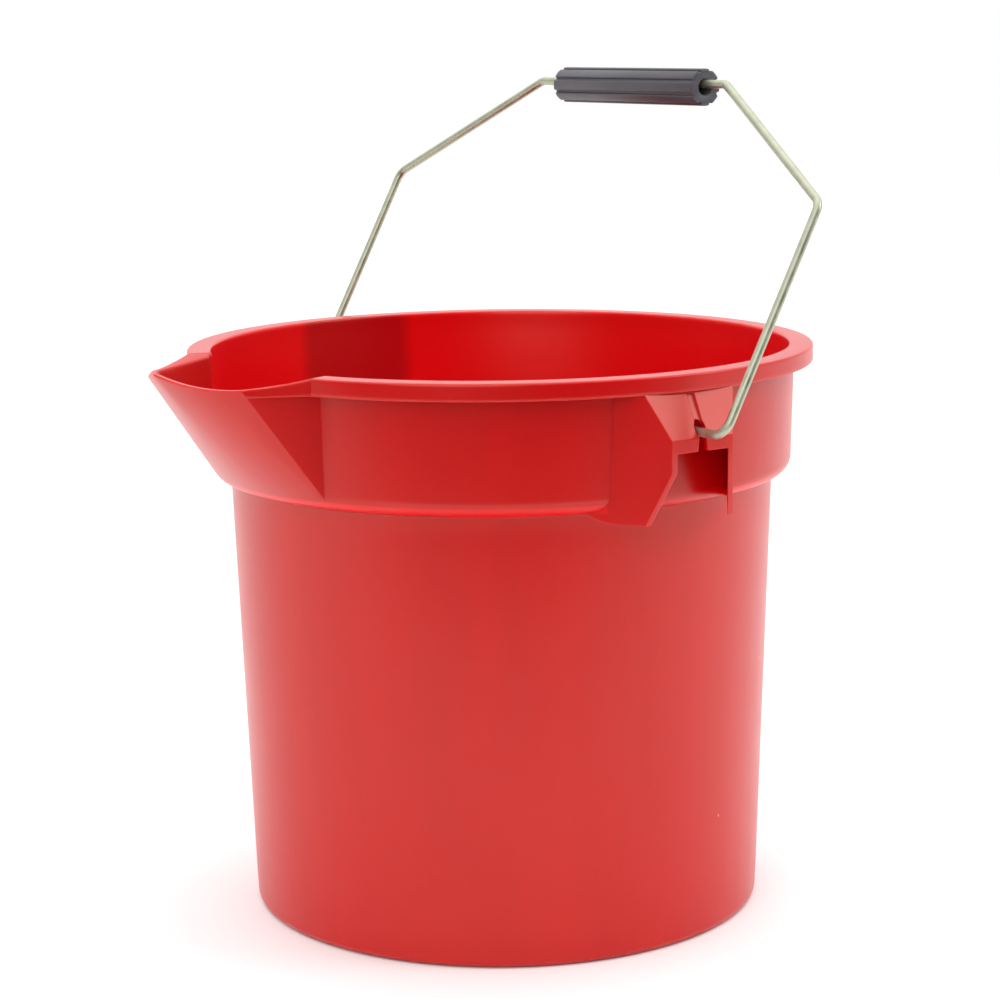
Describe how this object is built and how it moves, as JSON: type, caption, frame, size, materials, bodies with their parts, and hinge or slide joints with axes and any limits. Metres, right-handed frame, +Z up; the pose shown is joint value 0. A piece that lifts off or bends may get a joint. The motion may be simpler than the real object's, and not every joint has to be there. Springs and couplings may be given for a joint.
{
  "type": "pouring wash bucket",
  "caption": "Round tapered plastic bucket with a stepped upper band, pouring spout, two moulded ears and a swinging wire bail with a loose sleeve grip.",
  "frame": {"origin": "centre of the foot ring, on the plane it stands on", "axes": "+Z up, +X out through the pouring spout, the two bail ears on +Y and -Y"},
  "size_m": [0.3408, 0.355, 0.407],
  "materials": {
    "bucket": "moulded polyethylene, soft gloss, slightly translucent",
    "wire": "zinc plated drawn wire",
    "grip": "moulded polypropylene, satin"
  },
  "bodies": {
    "bucket": {"bucket": "bucket"},
    "bail": {"bail_wire": "wire"},
    "grip": {"grip": "grip"}
  },
  "joints": [
    {"name": "bail_swing", "type": "hinge", "parent": "bucket", "child": "bail", "pos_m": [0, 0, 0.2506], "axis": [0, 1, 0], "range_deg": [-94.8, 108]},
    {"name": "grip_spin", "type": "hinge", "parent": "bail", "child": "grip", "pos_m": [-0.08026, 0.003, 0.39811], "axis": [0, 1, 0], "continuous": true}
  ]
}
